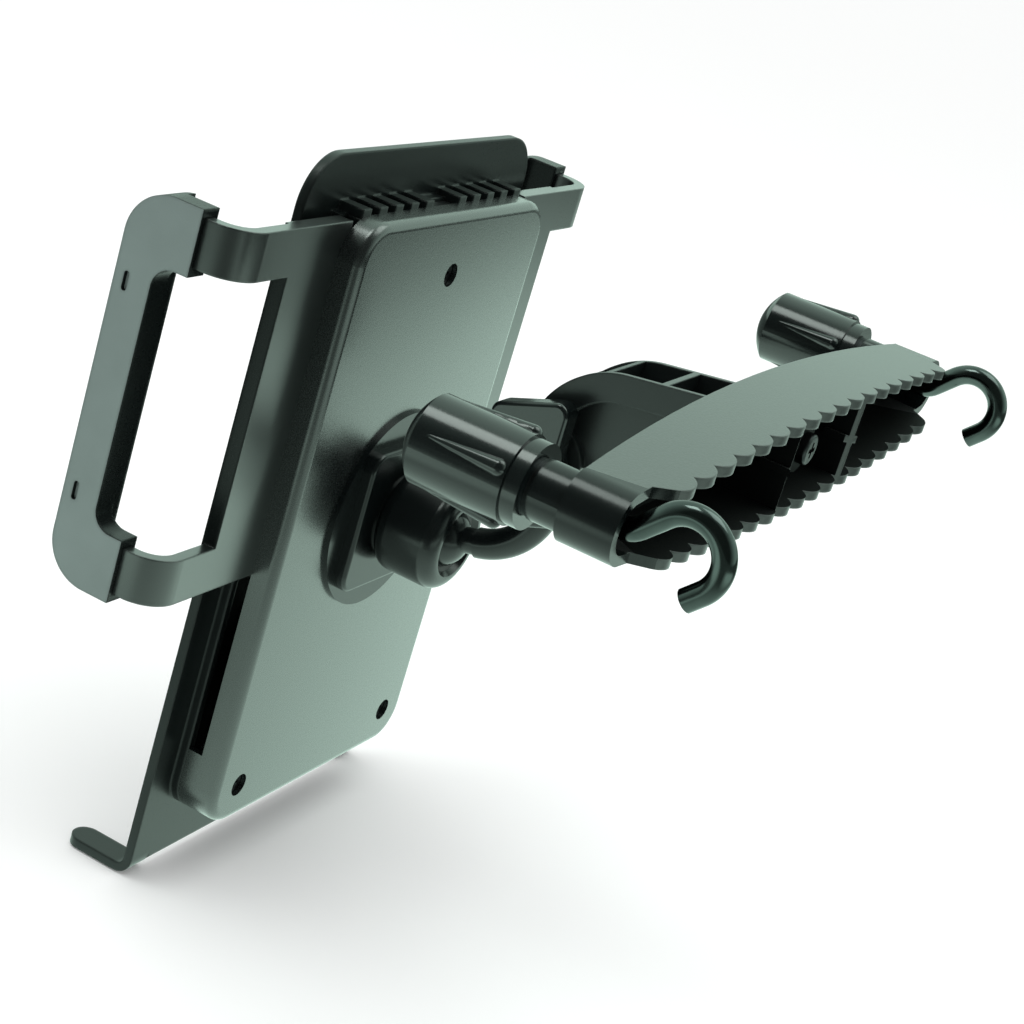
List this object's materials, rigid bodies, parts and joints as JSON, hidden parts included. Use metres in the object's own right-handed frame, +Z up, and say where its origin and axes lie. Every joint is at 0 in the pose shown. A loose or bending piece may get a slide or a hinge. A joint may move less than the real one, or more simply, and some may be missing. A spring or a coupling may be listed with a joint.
{
  "type": "headrest tablet mount",
  "caption": "Clamp bar with hooks and knobs for headrest posts, a gooseneck arm with a knuckle and ball joint, and a cradle that holds a tablet between side grips.",
  "frame": {"origin": "midway between the two hook axes, in the plane of the bar's scalloped jaw", "axes": "+X along the clamp bar, +Y towards the seat back, +Z up; the tablet faces -Y"},
  "size_m": [0.2232, 0.1587, 0.1917],
  "materials": {
    "matte_black": "fine texture",
    "satin_black": "satin",
    "dark_chrome": "polished",
    "steel": "plain",
    "brass": "plain",
    "liner": "smooth"
  },
  "bodies": {
    "clamp": {"clamp_bar": "matte_black", "arm": "satin_black", "arm_screw": "steel", "pivot_bolt": "steel", "pivot_washer": "steel"},
    "wing": {"wing_knob": "satin_black", "wing_insert": "brass"},
    "stem": {"ball_stem": "satin_black"},
    "tilt_carrier": {"ball_seat": "liner"},
    "pan_carrier": {"clamp_ring": "liner"},
    "holder": {"socket_foot": "matte_black", "foot_screws": "steel", "rear_cover": "matte_black", "cover_screws": "steel", "cradle_frame": "matte_black", "back_plate": "matte_black", "side_grip_left": "matte_black", "side_grip_right": "matte_black"},
    "nut": {"ring_nut": "satin_black"},
    "washer_left": {"knob_washer_left": "steel"},
    "hook_left": {"hook_left": "dark_chrome"},
    "knob_left": {"knob_left": "satin_black", "knob_insert_left": "brass", "knob_cap_left": "satin_black"},
    "washer_right": {"knob_washer_right": "steel"},
    "hook_right": {"hook_right": "dark_chrome"},
    "knob_right": {"knob_right": "satin_black", "knob_insert_right": "brass", "knob_cap_right": "satin_black"}
  },
  "joints": [
    {"name": "knuckle_tilt", "type": "hinge", "parent": "clamp", "child": "stem", "pos_m": [0, -0.062, -0.025], "axis": [1, 0, 0], "range_deg": [-35, 45]},
    {"name": "wing_knob_turn", "type": "hinge", "parent": "clamp", "child": "wing", "pos_m": [0, -0.062, -0.025], "axis": [1, 0, 0], "range_deg": [-30, 720]},
    {"name": "ball_tilt", "type": "hinge", "parent": "stem", "child": "tilt_carrier", "pos_m": [0, -0.0885, -0.0593], "axis": [1, 0, 0], "range_deg": [-8, 30]},
    {"name": "ball_pan", "type": "hinge", "parent": "tilt_carrier", "child": "pan_carrier", "pos_m": [0, -0.0885, -0.0593], "axis": [0, 0, 1], "range_deg": [-12, 12]},
    {"name": "ball_roll", "type": "hinge", "parent": "pan_carrier", "child": "holder", "pos_m": [0, -0.0885, -0.0593], "axis": [0, 1, 0], "range_deg": [-90, 90]},
    {"name": "ring_nut_turn", "type": "hinge", "parent": "holder", "child": "nut", "pos_m": [0, -0.0885, -0.0593], "axis": [0, 1, 0], "range_deg": [-30, 360]},
    {"name": "hook_swivel_left", "type": "hinge", "parent": "clamp", "child": "washer_left", "pos_m": [-0.101, 0, 0], "axis": [0, 1, 0], "range_deg": [-90, 90]},
    {"name": "hook_draw_left", "type": "slide", "parent": "washer_left", "child": "hook_left", "axis": [0, 1, 0], "range_m": [-0.002, 0.008]},
    {"name": "knob_turn_left", "type": "hinge", "parent": "clamp", "child": "knob_left", "pos_m": [-0.101, 0, 0], "axis": [0, 1, 0], "range_deg": [-720, 2880]},
    {"name": "hook_swivel_right", "type": "hinge", "parent": "clamp", "child": "washer_right", "pos_m": [0.101, 0, 0], "axis": [0, 1, 0], "range_deg": [-90, 90]},
    {"name": "hook_draw_right", "type": "slide", "parent": "washer_right", "child": "hook_right", "axis": [0, 1, 0], "range_m": [-0.002, 0.008]},
    {"name": "knob_turn_right", "type": "hinge", "parent": "clamp", "child": "knob_right", "pos_m": [0.101, 0, 0], "axis": [0, 1, 0], "range_deg": [-720, 2880]}
  ],
  "couplings": [
    {"joint": "knob_turn_left", "follows": "hook_draw_left", "rad_per_m": 6283.2},
    {"joint": "knob_turn_right", "follows": "hook_draw_right", "rad_per_m": 6283.2}
  ]
}
